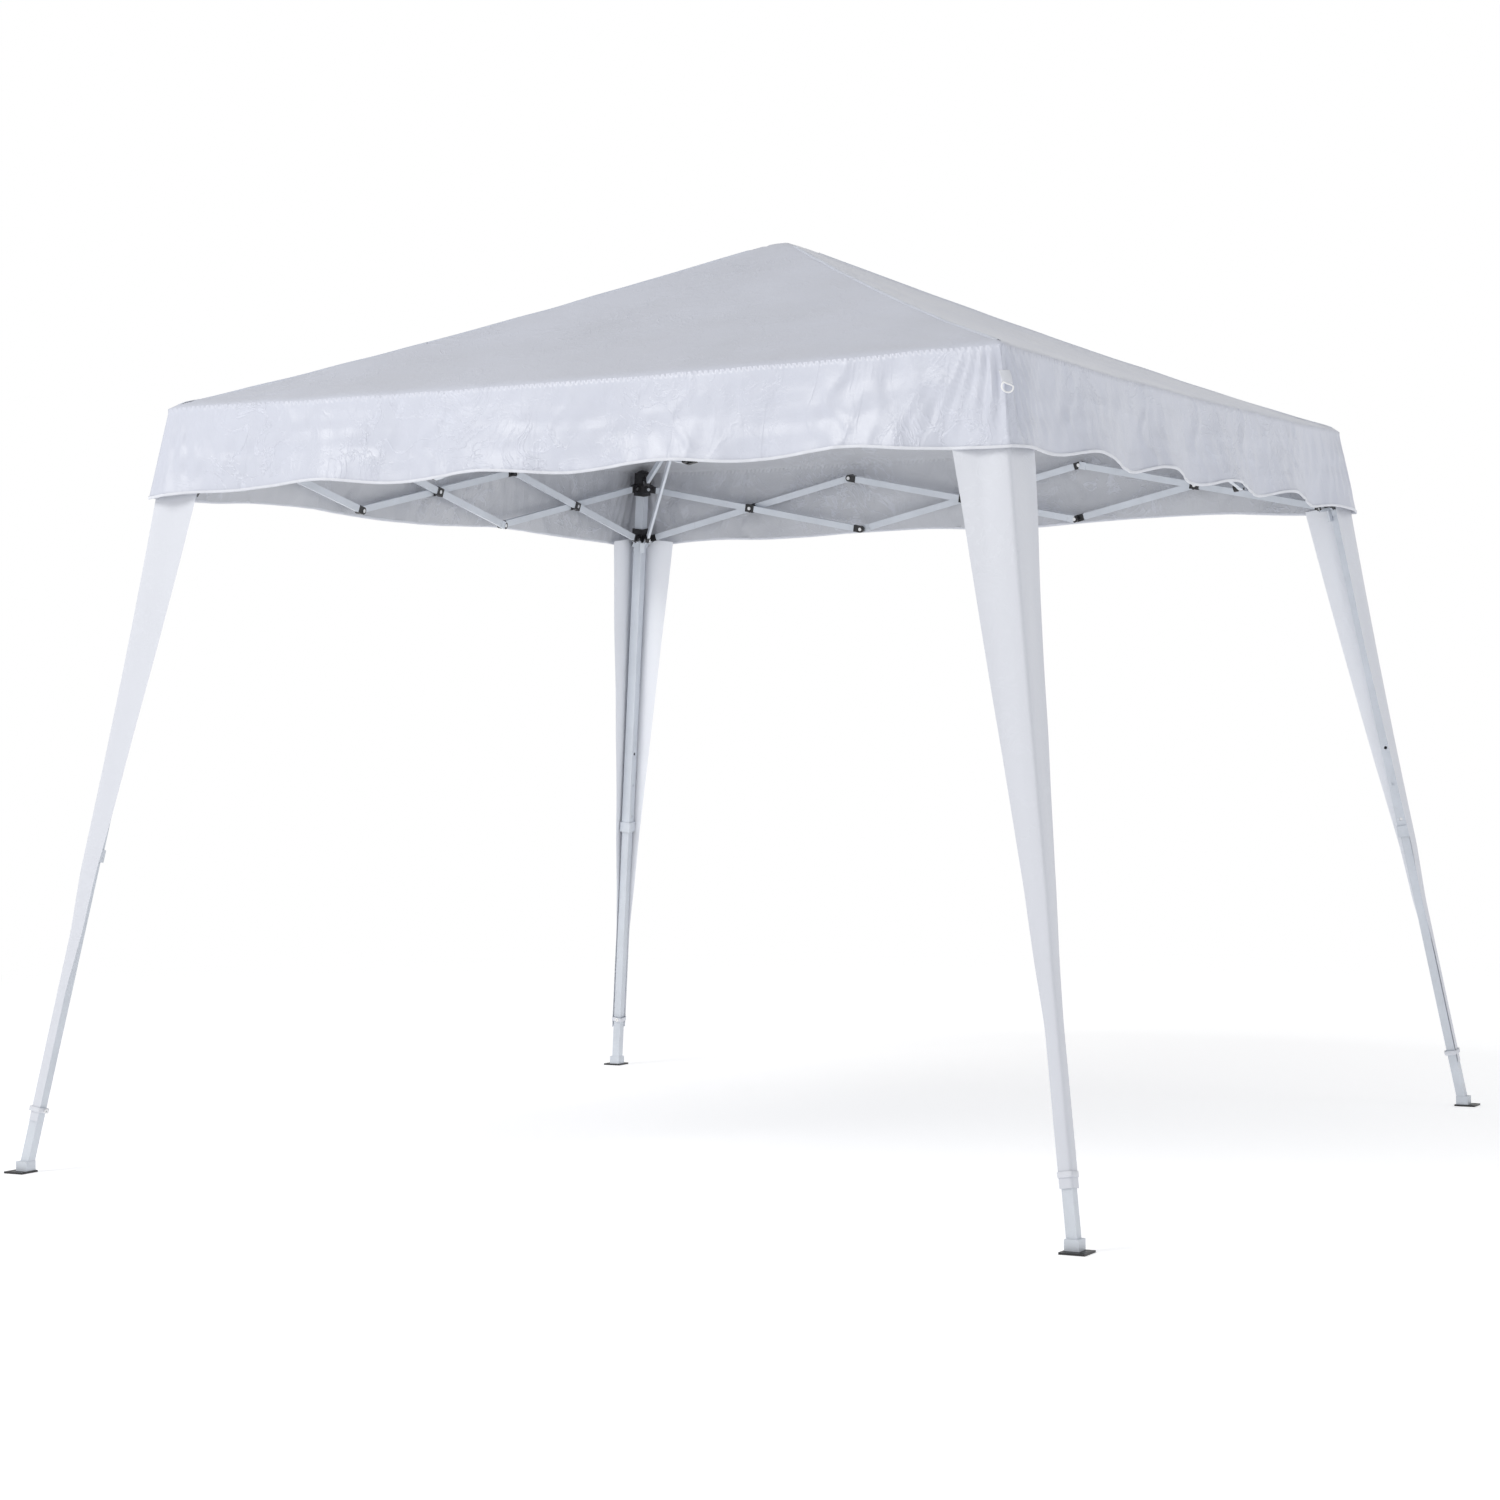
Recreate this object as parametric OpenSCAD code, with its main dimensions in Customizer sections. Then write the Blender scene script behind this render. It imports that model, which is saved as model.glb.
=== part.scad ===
// Pop up canopy: four slanted telescoping legs, a folding scissor truss on each side,
// a jointed roof rafter and strut at each corner, a centre hub and a sewn cover.
// Units are millimetres. The floor is z = 0 and +Z is up.

/* [Frame size] */
// Distance from the centre to each foot, along X and along Y
footSpan = 1500; // [1300:1700]
// Inward lean of a leg, per unit of height, along X and along Y
lean = 0.16; // [0.05:0.01:0.25]
// Height of the upper truss pivots on the leg axis
trussZ = 1978; // [1800:2100]
// Depth of the side truss, measured in its plane
trussDepth = 167.1; // [140:200]
// Height of the hub pivots
hubZ = 2470; // [2400:2600]
// Radius of the circle of hub pivots
hubArm = 40; // [36:60]

/* [Tubes] */
// Side of the square outer leg tube
outerTube = 30; // [25:40]
// Wall of the outer leg tube
outerWall = 1.2; // [0.8:0.1:2]
// Side of the square inner leg tube
innerTube = 26; // [20:30]
// Wall of the inner leg tube
innerWall = 1; // [0.8:0.1:2]
// Height of a scissor bar
barHigh = 20; // [14:30]
// Thickness of a scissor bar
barThick = 10; // [8:14]
// Wall of a scissor bar
barWall = 0.8; // [0.6:0.1:2]
// Distance along the leg from the floor to the lower end of the outer tube
collarAt = 845; // [700:1000]
// Length of the inner tube that stays inside the outer tube
innerOverlap = 230; // [150:400]

/* [Fittings] */
// Distance of the scissor pivots from the leg axis
pivotOff = 35; // [32:45]
// Distance of the rafter and strut pivots from the leg axis
rafterOff = 52; // [48:60]
// Height of the rafter pivot above the truss pivots, along the leg
rafterUp = 25; // [10:40]
// Radius of the rivets
rivetR = 3; // [2:0.5:4]
// Radial running clearance of each rivet in its bore
rivetGap = 0.05; // [0.02:0.01:0.1]
// Side of the square foot plate
footPlate = 62; // [50:90]
// Radius of the peg hole in the foot plate
pegHoleR = 5; // [4:8]

/* [Cover] */
// Half width of the roof at its eaves
eaveHalf = 1222; // [1150:1300]
// Height of the eaves
eaveZ = 2034; // [1950:2100]
// Height of the roof over the hub
apexZ = 2530; // [2400:2700]
// Half width of the valance at its lower edge
hemHalf = 1250; // [1200:1350]
// Height of the lower edge of the valance
hemZ = 1792; // [1700:1850]
// Thickness of the cover
clothThick = 2; // [1:0.5:4]
// Width of each wing of a leg skirt at its top
skirtWing = 150; // [80:220]
// Height of the top of a leg skirt
skirtTopZ = 1900; // [1800:1960]
// Height where the skirt has narrowed to the width of the leg
skirtEndZ = 480; // [200:800]
// Height of the lower edge of a leg skirt
skirtHemZ = 130; // [60:400]

/* [Hidden] */

steel = [0.72, 0.75, 0.78];
black = [0.12, 0.12, 0.13];
cloth = [0.82, 0.85, 0.88];

delta = atan(lean);                    // tilt of each side plane
gamma = atan(sin(delta));              // lean of the leg within that plane
psi = atan(lean * sqrt(2));            // lean of the leg within its diagonal plane
eps = (acos(-lean * lean / (1 + lean * lean)) - 90) / 2; // turn of each side plane about the leg
legRest = trussZ / cos(psi);           // distance along the leg from the floor to the truss pivots

trussSpan = footSpan - lean * trussZ - pivotOff / cos(gamma); // upper pivot to mid side
shift = trussDepth * tan(gamma);       // lower pivots stand this far outside the upper ones
reach = (2 * trussSpan + shift) / 3;   // horizontal reach of one bar
kappa = shift / reach;
phi = atan(trussDepth / reach);
barLong = sqrt(reach * reach + trussDepth * trussDepth);
crossTop = barLong * (1 - kappa) / 2;  // crossing, from the upper end of a top or slider bar
crossMid = barLong * (1 + kappa) / 2;  // crossing, from the upper end of a middle bar
sliderDrop = trussDepth / cos(gamma);

layer = 8;                             // middle of a bar from the side plane
boreR = rivetR + rivetGap;
headR = 5.5;
headThick = 1.6;

// rafter pivot and hub pivot in the diagonal plane: distance out, height
rafterD = (footSpan - lean * trussZ) * sqrt(2) - rafterUp * sin(psi) - rafterOff * cos(psi);
rafterZ = trussZ + rafterUp * cos(psi) - rafterOff * sin(psi);
rafterLong = sqrt(pow(rafterD - hubArm, 2) + pow(hubZ - rafterZ, 2));
rafterTilt = atan((hubZ - rafterZ) / (rafterD - hubArm));
lowerLong = 617;
upperLong = rafterLong - lowerLong;
strutFrom = 345.68;                       // strut pivot on the lower rafter, from the leg
strutD = (footSpan - lean * trussZ) * sqrt(2) + sliderDrop * sin(psi) - rafterOff * cos(psi);
strutZ = trussZ - sliderDrop * cos(psi) - rafterOff * sin(psi);
strutEndD = rafterD - strutFrom * cos(rafterTilt);
strutEndZ = rafterZ + strutFrom * sin(rafterTilt);
strutLong = sqrt(pow(strutD - strutEndD, 2) + pow(strutEndZ - strutZ, 2));
strutTilt = atan2(strutEndZ - strutZ, strutD - strutEndD);
upperLayer = 12;
strutLayer = -11;

// ---- frames ----
// corner 0 is front left; the others follow by quarter turns
module corner(k) { rotate([0, 0, 90 * k]) children(); }

// leg axis up along Z, X inward along one side, Y inward along the other, origin at the truss pivots
module legFrame() {
    translate([-(footSpan - lean * trussZ), -(footSpan - lean * trussZ), trussZ])
        rotate([0, 0, 45]) rotate([0, psi, 0]) rotate([0, 0, -45]) children();
}

// one of the two side planes: X along the side, Z up the leg, Y inward
module sideFrame(other) {
    legFrame()
        mirror([other ? 1 : 0, other ? -1 : 0, 0]) rotate([0, 0, -eps]) children();
}

// origin at the upper truss pivot, X level along the side, Z up in the side plane
module trussFrame(other) {
    sideFrame(other) translate([pivotOff, 0, 0]) rotate([0, -gamma, 0]) children();
}

// the vertical plane through the centre and a leg: X is out from the centre, Y across
module diagonalFrame() { rotate([0, 0, 225]) children(); }

// ---- small parts ----
module rod(r, y0, y1) { translate([0, y1, 0]) rotate([90, 0, 0]) cylinder(h = y1 - y0, r = r); }

module rivet(y0, y1) {
    rod(rivetR, y0, y1);
    rod(headR, y0 - headThick, y0);
    rod(headR, y1, y1 + headThick);
}

module shell(x0, x1, high, thick, wall) {
    difference() {
        translate([x0, -thick / 2, -high / 2]) cube([x1 - x0, thick, high]);
        translate([x0 - 1, -thick / 2 + wall, -high / 2 + wall])
            cube([x1 - x0 + 2, thick - 2 * wall, high - 2 * wall]);
    }
}

// a plastic end fitting around the pivot at x = 0, plugged into the tube along +X
module barEnd(tubeFrom) {
    rod(11, -5.5, 5.5);
    translate([0, -5.5, -11]) cube([tubeFrom - 0.5, 11, 22]);
    translate([tubeFrom - 1, -barThick / 2 + barWall + 0.1, -barHigh / 2 + barWall + 0.1])
        cube([16, barThick - 2 * barWall - 0.2, barHigh - 2 * barWall - 0.2]);
}

// a scissor bar along +X from its pivot at 0 to its pivot at barLong.
// y is its layer, and boreAt lists where it is drilled for another bar's rivet
module scissorBar(y, boreAt) {
    tubeEnd = 24;
    difference() {
        union() {
            color(steel) translate([0, y, 0]) shell(tubeEnd, barLong - tubeEnd, barHigh, barThick, barWall);
            color(black) translate([0, y, 0]) barEnd(tubeEnd);
            color(black) translate([barLong, y, 0]) rotate([0, 0, 180]) barEnd(tubeEnd);
        }
        for (x = boreAt) translate([x, y, 0]) rod(boreR, -12, 12);
    }
}

// the black clip round a bar where two bars cross, in two halves that close on the bar
module crossClip(y, x, drilled) {
    color(black) difference() {
        translate([x - 15, y - 6.6, -12.6]) cube([30, 13.2, 25.2]);
        translate([x - 16, y - barThick / 2 - 0.1, -barHigh / 2 - 0.1]) cube([32, barThick + 0.2, barHigh + 0.2]);
        if (drilled) translate([x, y, 0]) rod(boreR, -12, 12);
    }
}

// ---- hub ----
module hub() {
    color(black) {
        translate([0, 0, hubZ - 14]) cylinder(h = 34, r = 25);
        translate([0, 0, hubZ + 14]) cylinder(h = 6, r = 50);
        difference() {
            translate([0, 0, hubZ - 34]) cylinder(h = 20, r1 = 16, r2 = 25);
            translate([0, 0, hubZ - 35]) cylinder(h = 12, r = 9);
        }
        for (k = [0:3]) corner(k) diagonalFrame() {
            for (y = [upperLayer - 10, upperLayer + 5.5]) difference() {
                union() {
                    translate([20, y, hubZ - 10]) cube([hubArm - 20, 4.5, 25]);
                    translate([hubArm, y, hubZ]) rod(10, 0, 4.5);
                    translate([hubArm - 2, y, hubZ]) cube([10, 4.5, 15]);
                }
                translate([hubArm, y, hubZ]) rod(rivetR, -1, 6);
            }
        }
    }
    color(steel) for (k = [0:3]) corner(k) diagonalFrame()
        translate([hubArm, 0, hubZ]) rivet(upperLayer - 10, upperLayer + 10);
}

module hub_cap() {
    color(black) {
        intersection() {
            translate([0, 0, hubZ - 24]) sphere(r = 72);
            translate([-80, -80, hubZ + 34]) cube([160, 160, 30]);
        }
        translate([0, 0, hubZ + 20.1]) cylinder(h = 15, r = 30);
    }
}

// ---- rafters and struts ----
// the upper rafter hangs on the hub; its tube runs along the rafter line in its own layer
module upperRafter() {
    diagonalFrame() translate([hubArm, 0, hubZ]) rotate([0, rafterTilt, 0]) {
        difference() {
            union() {
                color(steel) translate([0, upperLayer, 0]) shell(20, upperLong - 20, barHigh, barThick, barWall);
                color(black) translate([0, upperLayer, 0]) rafterEnd(20);
                color(black) translate([upperLong, upperLayer, 0]) rotate([0, 0, 180]) rafterEnd(20);
            }
            translate([0, upperLayer, 0]) rod(boreR, -12, 12);
            translate([upperLong, upperLayer, 0]) rod(rivetR, -12, 12);
        }
        // elbow rivet, fixed in this half
        color(steel) translate([upperLong, 0, 0]) rivet(-5.6, upperLayer + 5.2);
    }
}

module rafterEnd(tubeFrom) {
    rod(10, -5, 5);
    translate([0, -5, -10]) cube([tubeFrom - 0.2, 10, 20]);
    translate([tubeFrom - 1, -barThick / 2 + barWall + 0.1, -barHigh / 2 + barWall + 0.1])
        cube([16, barThick - 2 * barWall - 0.2, barHigh - 2 * barWall - 0.2]);
}

module lowerRafter() {
    diagonalFrame() translate([rafterD, 0, rafterZ]) rotate([0, rafterTilt, 0]) {
        difference() {
            union() {
                color(steel) shell(-lowerLong + 20, -20, barHigh, barThick, barWall);
                color(black) rotate([0, 0, 180]) rafterEnd(20);
                color(black) translate([-lowerLong, 0, 0]) rafterEnd(20);
                color(black) translate([-strutFrom, 0, 0]) difference() {
                    translate([-16, -6.4, -12.6]) cube([32, 12.8, 25.2]);
                    translate([-17, -5.1, -10.1]) cube([34, 10.2, 20.2]);
                }
            }
            rod(boreR, -12, 12);
            translate([-lowerLong, 0, 0]) rod(boreR, -12, 12);
        }
    }
}

module strut() {
    diagonalFrame() translate([strutD, strutLayer, strutZ]) rotate([0, strutTilt - 180, 0]) {
        difference() {
            union() {
                color(steel) shell(18, strutLong - 18, 16, 8, barWall);
                for (e = [0, 1]) color(black) translate([e * strutLong, 0, 0]) rotate([0, 0, 180 * e]) {
                    rod(9, -4, 4);
                    translate([0, -4, -9]) cube([17.8, 8, 18]);
                    translate([17, -3.1, -7.1]) cube([14, 6.2, 14.2]);
                }
            }
            rod(boreR, -12, 12);
        }
        // rivet head at the rafter end
        color(steel) translate([strutLong, 0, 0]) rod(5.5, -5.6, -4);
    }
}

// ---- leg fittings ----
// two plastic cheeks that hold a bar end, and the web that joins them to the leg sleeve
module fork(y, sleeveHalf, pinned) {
    for (c = [y - 10, y + 5.9]) color(black) difference() {
        union() {
            translate([sleeveHalf - 3, c, -13]) cube([pivotOff - sleeveHalf + 3, 4.1, 26]);
            translate([pivotOff, c, 0]) rod(13, 0, 4.1);
        }
        if (pinned) translate([pivotOff, c, 0]) rod(rivetR, -1, 6);
    }
    if (pinned) color(steel) translate([pivotOff, 0, 0]) rivet(y - 10, y + 10);
    else color(steel) {
        translate([pivotOff, 0, 0]) rod(headR, y - 10 - headThick, y - 10);
        translate([pivotOff, 0, 0]) rod(headR, y + 10, y + 10 + headThick);
    }
}

module diagonalFork(up, y, thick, off) {
    legFrame() rotate([0, 0, 45]) translate([0, 0, up]) {
        for (c = [y - thick / 2 - 4.4, y + thick / 2 + 0.4]) color(black) difference() {
            union() {
                translate([20, c, -12]) cube([off - 20, 4, 24]);
                translate([off, c, 0]) rod(12, 0, 4);
            }
            translate([off, c, 0]) rod(rivetR, -1, 6);
        }
        color(steel) translate([off, 0, 0]) rivet(y - thick / 2 - 4.4, y + thick / 2 + 4.4);
    }
}

module squareTube(side, wall, z0, z1) {
    difference() {
        translate([-side / 2, -side / 2, z0]) cube([side, side, z1 - z0]);
        translate([-side / 2 + wall, -side / 2 + wall, z0 - 1]) cube([side - 2 * wall, side - 2 * wall, z1 - z0 + 2]);
    }
}

collarZ = collarAt - legRest;          // lower end of the outer tube, in the leg frame
tubeTopZ = 40;                         // upper end of the outer tube, in the leg frame
holePitch = 110;
holeR = 5;
buttonZ = collarZ + 50;
sleeveHalf = 20.5;

module outerLeg() {
    legFrame() {
        color(steel) difference() {
            squareTube(outerTube, outerWall, collarZ, tubeTopZ);
            for (h = [0:2]) translate([0, 0, buttonZ + h * holePitch]) rod(holeR, 0, 20);
        }
        // collar at the lower end
        color(black) {
            difference() {
                translate([-18.5, -18.5, collarZ - 4]) cube([37, 37, 34]);
                translate([-outerTube / 2 - 0.1, -outerTube / 2 - 0.1, collarZ]) cube([outerTube + 0.2, outerTube + 0.2, 40]);
                translate([-innerTube / 2 - 0.35, -innerTube / 2 - 0.35, collarZ - 5]) cube([innerTube + 0.7, innerTube + 0.7, 10]);
            }
        }
        // top bracket with its plug in the tube
        color(black) {
            difference() {
                translate([-sleeveHalf, -sleeveHalf, -26]) cube([2 * sleeveHalf, 2 * sleeveHalf, 76]);
                translate([-outerTube / 2 - 0.1, -outerTube / 2 - 0.1, -27]) cube([outerTube + 0.2, outerTube + 0.2, tubeTopZ + 27.1]);
            }
            translate([-outerTube / 2 + outerWall + 0.1, -outerTube / 2 + outerWall + 0.1, tubeTopZ - 38])
                cube([outerTube - 2 * outerWall - 0.2, outerTube - 2 * outerWall - 0.2, 40]);
            // rounded cap that the cover rests on
            intersection() {
                translate([0, 0, 30]) sphere(r = 30);
                translate([-sleeveHalf, -sleeveHalf, 49.9]) cube([2 * sleeveHalf, 2 * sleeveHalf, 12]);
            }
        }
    }
    sideFrame(false) fork(-layer, sleeveHalf, true);
    sideFrame(true) fork(layer, sleeveHalf, true);
    diagonalFork(rafterUp, 0, 10, rafterOff);
}

module slider() {
    legFrame() translate([0, 0, -sliderDrop]) color(black) {
        difference() {
            translate([-sleeveHalf, -sleeveHalf, -30]) cube([2 * sleeveHalf, 2 * sleeveHalf, 62]);
            translate([-outerTube / 2 - 0.4, -outerTube / 2 - 0.4, -31]) cube([outerTube + 0.8, outerTube + 0.8, 64]);
        }
        // release lever under the strut fork
        rotate([0, 0, 45]) translate([21.9, -8, -46]) cube([8.5, 16, 33]);
    }
    sideFrame(false) translate([0, 0, -sliderDrop]) fork(layer, sleeveHalf, false);
    sideFrame(true) translate([0, 0, -sliderDrop]) fork(-layer, sleeveHalf, false);
    diagonalFork(-sliderDrop, -strutLayer, 8, rafterOff);
}

module innerLeg() {
    legFrame() {
        color(steel) difference() {
            squareTube(innerTube, innerWall, -legRest + 14, collarZ + innerOverlap);
            translate([0, 0, buttonZ]) rod(4.6, 0, 20);
        }
        color(black) translate([0, 0, collarZ + innerOverlap + 0.2]) translate([-innerTube / 2 + 0.4, -innerTube / 2 + 0.4, 0])
            cube([innerTube - 0.8, innerTube - 0.8, 6]);
        // plug that holds the foot
        color(black) translate([-innerTube / 2 + innerWall + 0.1, -innerTube / 2 + innerWall + 0.1, -legRest + 13])
            cube([innerTube - 2 * innerWall - 0.2, innerTube - 2 * innerWall - 0.2, 50]);
    }
    // foot plate, flat on the floor, with a raised socket and a peg hole on its outer side
    translate([-footSpan, -footSpan, 0]) color(black) {
        difference() {
            translate([-footPlate / 2 - 8, -footPlate / 2 - 8, 0]) cube([footPlate, footPlate, 5]);
            translate([-footPlate / 2 + 4, -footPlate / 2 + 4, -1]) cylinder(h = 8, r = pegHoleR);
        }
        difference() {
            translate([-18 + 1, -18 + 1, 4.5]) cube([36, 36, 26]);
            translate([0, 0, 0]) footCut();
        }
    }
}

// the pocket in the socket where the tube goes
module footCut() {
    rotate([0, 0, 45]) rotate([0, psi, 0]) rotate([0, 0, -45])
        translate([-innerTube / 2 - 0.1, -innerTube / 2 - 0.1, 12.8]) cube([innerTube + 0.2, innerTube + 0.2, 60]);
}

module snapButton() {
    inner = outerTube / 2 - outerWall - 0.25;   // outer face of the button, just inside the outer tube
    legFrame() translate([0, 0, buttonZ]) color(steel) {
        rod(4.5, inner - 8.4, inner);
        translate([-7, inner - 8.4, -9]) cube([14, 2, 18]);
    }
}

// ---- cover ----
// one square ring of the cover: half width, height
roofRings = [[eaveHalf, eaveZ], [915, eaveZ + 114], [610, eaveZ + 236], [305, eaveZ + 366], [60, apexZ - 6]];

module squareSkin(rings, thick, closed) {
    n = len(rings);
    outer = [for (r = rings) each [[-r[0], -r[0], r[1]], [r[0], -r[0], r[1]], [r[0], r[0], r[1]], [-r[0], r[0], r[1]]]];
    inner = [for (r = rings) each [[-r[0] + thick, -r[0] + thick, r[1] - (closed ? thick : 0)],
        [r[0] - thick, -r[0] + thick, r[1] - (closed ? thick : 0)],
        [r[0] - thick, r[0] - thick, r[1] - (closed ? thick : 0)],
        [-r[0] + thick, r[0] - thick, r[1] - (closed ? thick : 0)]]];
    m = 4 * n;
    sides = [for (i = [0:n - 2]) for (j = [0:3]) let (a = 4 * i + j, b = 4 * i + (j + 1) % 4)
        each [[a, a + 4, b + 4, b], [m + a, m + b, m + b + 4, m + a + 4]]];
    low = [for (j = [0:3]) let (a = j, b = (j + 1) % 4) [a, b, m + b, m + a]];
    t = 4 * (n - 1);
    high = closed ? [[t + 3, t + 2, t + 1, t], [m + t, m + t + 1, m + t + 2, m + t + 3]]
        : [for (j = [0:3]) let (a = t + j, b = t + (j + 1) % 4) [a, m + a, m + b, b]];
    polyhedron(points = concat(outer, inner), faces = concat(sides, low, high), convexity = 4);
}

module canopy_roof() { color(cloth) squareSkin(roofRings, clothThick, true); }

module canopy_valance() {
    color(cloth) squareSkin([[hemHalf, hemZ], [eaveHalf, eaveZ - 3]], clothThick, false);
}

// an L shaped cloth wing pair on the outer side of a leg, narrowing toward the foot
module legSkirt() {
    face = sleeveHalf + 2.2;
    top = (skirtTopZ - trussZ) / cos(psi);
    low = (skirtEndZ - trussZ) / cos(psi);
    hem = (skirtHemZ - trussZ) / cos(psi);
    legFrame() color(cloth) for (m = [0, 1]) mirror([m, -m, 0])
        translate([0, -face, 0]) rotate([90, 0, 0]) linear_extrude(height = 1.5)
            polygon([[-face - 1.5 * (1 - m), top], [skirtWing - face, top], [12, low], [12, hem], [-face - 1.5 * (1 - m), hem]]);
}

// ---- placement ----
module bars(kind, other) {
    y = other ? layer : -layer;
    trussFrame(other) {
        if (kind == "top") rotate([0, phi, 0]) {
            scissorBar(y, [0]);
            crossClip(y, crossTop, false);
            color(steel) translate([crossTop, 0, 0]) crossRivet(y);
            color(steel) translate([barLong, 0, 0]) endHeads(y);
        }
        if (kind == "slider") translate([-shift, 0, -trussDepth]) rotate([0, -phi, 0]) {
            scissorBar(-y, [barLong - crossTop]);
            crossClip(-y, barLong - crossTop, true);
            color(steel) translate([barLong, 0, 0]) crossRivet(-y);
        }
        if (kind == "middle") translate([reach - shift, 0, 0]) rotate([0, phi, 0]) {
            scissorBar(y, [0]);
            crossClip(y, crossMid, false);
            color(steel) translate([crossMid, 0, 0]) endHeads(y);
            color(steel) translate([barLong, 0, 0]) endHeads(y);
        }
    }
}

// a rivet fixed in the bar at layer y that runs through the bar at layer -y
module crossRivet(y) {
    s = y > 0 ? 1 : -1;
    a = s * 15.2;
    b = -s * 15.2;
    translate([0, 0, 0]) rivet(min(a, b), max(a, b));
}

// rivet heads on the outer face only
module endHeads(y) {
    s = y > 0 ? 1 : -1;
    rod(headR, min(s * 13.4, s * 15.2), max(s * 13.4, s * 15.2));
}

module outer_leg_front_left() { corner(0) outerLeg(); }
module outer_leg_front_right() { corner(1) outerLeg(); }
module outer_leg_back_right() { corner(2) outerLeg(); }
module outer_leg_back_left() { corner(3) outerLeg(); }
module leg_skirt_front_left() { corner(0) legSkirt(); }
module leg_skirt_front_right() { corner(1) legSkirt(); }
module leg_skirt_back_right() { corner(2) legSkirt(); }
module leg_skirt_back_left() { corner(3) legSkirt(); }
module slider_front_left() { corner(0) slider(); }
module slider_front_right() { corner(1) slider(); }
module slider_back_right() { corner(2) slider(); }
module slider_back_left() { corner(3) slider(); }
module inner_leg_front_left() { corner(0) innerLeg(); }
module inner_leg_front_right() { corner(1) innerLeg(); }
module inner_leg_back_right() { corner(2) innerLeg(); }
module inner_leg_back_left() { corner(3) innerLeg(); }
module snap_button_front_left() { corner(0) snapButton(); }
module snap_button_front_right() { corner(1) snapButton(); }
module snap_button_back_right() { corner(2) snapButton(); }
module snap_button_back_left() { corner(3) snapButton(); }
module lower_rafter_front_left() { corner(0) lowerRafter(); }
module lower_rafter_front_right() { corner(1) lowerRafter(); }
module lower_rafter_back_right() { corner(2) lowerRafter(); }
module lower_rafter_back_left() { corner(3) lowerRafter(); }
module upper_rafter_front_left() { corner(0) upperRafter(); }
module upper_rafter_front_right() { corner(1) upperRafter(); }
module upper_rafter_back_right() { corner(2) upperRafter(); }
module upper_rafter_back_left() { corner(3) upperRafter(); }
module strut_front_left() { corner(0) strut(); }
module strut_front_right() { corner(1) strut(); }
module strut_back_right() { corner(2) strut(); }
module strut_back_left() { corner(3) strut(); }
module top_bar_front_from_left() { corner(0) bars("top", false); }
module top_bar_right_from_front() { corner(1) bars("top", false); }
module top_bar_back_from_right() { corner(2) bars("top", false); }
module top_bar_left_from_back() { corner(3) bars("top", false); }
module slider_bar_front_from_left() { corner(0) bars("slider", false); }
module slider_bar_right_from_front() { corner(1) bars("slider", false); }
module slider_bar_back_from_right() { corner(2) bars("slider", false); }
module slider_bar_left_from_back() { corner(3) bars("slider", false); }
module middle_bar_front_from_left() { corner(0) bars("middle", false); }
module middle_bar_right_from_front() { corner(1) bars("middle", false); }
module middle_bar_back_from_right() { corner(2) bars("middle", false); }
module middle_bar_left_from_back() { corner(3) bars("middle", false); }
module top_bar_left_from_front() { corner(0) bars("top", true); }
module top_bar_front_from_right() { corner(1) bars("top", true); }
module top_bar_right_from_back() { corner(2) bars("top", true); }
module top_bar_back_from_left() { corner(3) bars("top", true); }
module slider_bar_left_from_front() { corner(0) bars("slider", true); }
module slider_bar_front_from_right() { corner(1) bars("slider", true); }
module slider_bar_right_from_back() { corner(2) bars("slider", true); }
module slider_bar_back_from_left() { corner(3) bars("slider", true); }
module middle_bar_left_from_front() { corner(0) bars("middle", true); }
module middle_bar_front_from_right() { corner(1) bars("middle", true); }
module middle_bar_right_from_back() { corner(2) bars("middle", true); }
module middle_bar_back_from_left() { corner(3) bars("middle", true); }

hub();
hub_cap();
canopy_roof();
canopy_valance();
outer_leg_front_left();
outer_leg_front_right();
outer_leg_back_right();
outer_leg_back_left();
leg_skirt_front_left();
leg_skirt_front_right();
leg_skirt_back_right();
leg_skirt_back_left();
slider_front_left();
slider_front_right();
slider_back_right();
slider_back_left();
inner_leg_front_left();
inner_leg_front_right();
inner_leg_back_right();
inner_leg_back_left();
snap_button_front_left();
snap_button_front_right();
snap_button_back_right();
snap_button_back_left();
lower_rafter_front_left();
lower_rafter_front_right();
lower_rafter_back_right();
lower_rafter_back_left();
upper_rafter_front_left();
upper_rafter_front_right();
upper_rafter_back_right();
upper_rafter_back_left();
strut_front_left();
strut_front_right();
strut_back_right();
strut_back_left();
top_bar_front_from_left();
top_bar_right_from_front();
top_bar_back_from_right();
top_bar_left_from_back();
slider_bar_front_from_left();
slider_bar_right_from_front();
slider_bar_back_from_right();
slider_bar_left_from_back();
middle_bar_front_from_left();
middle_bar_right_from_front();
middle_bar_back_from_right();
middle_bar_left_from_back();
top_bar_left_from_front();
top_bar_front_from_right();
top_bar_right_from_back();
top_bar_back_from_left();
slider_bar_left_from_front();
slider_bar_front_from_right();
slider_bar_right_from_back();
slider_bar_back_from_left();
middle_bar_left_from_front();
middle_bar_front_from_right();
middle_bar_right_from_back();
middle_bar_back_from_left();
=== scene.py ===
import math

import bpy
import numpy as np
from mathutils import Matrix, Vector, noise


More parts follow.
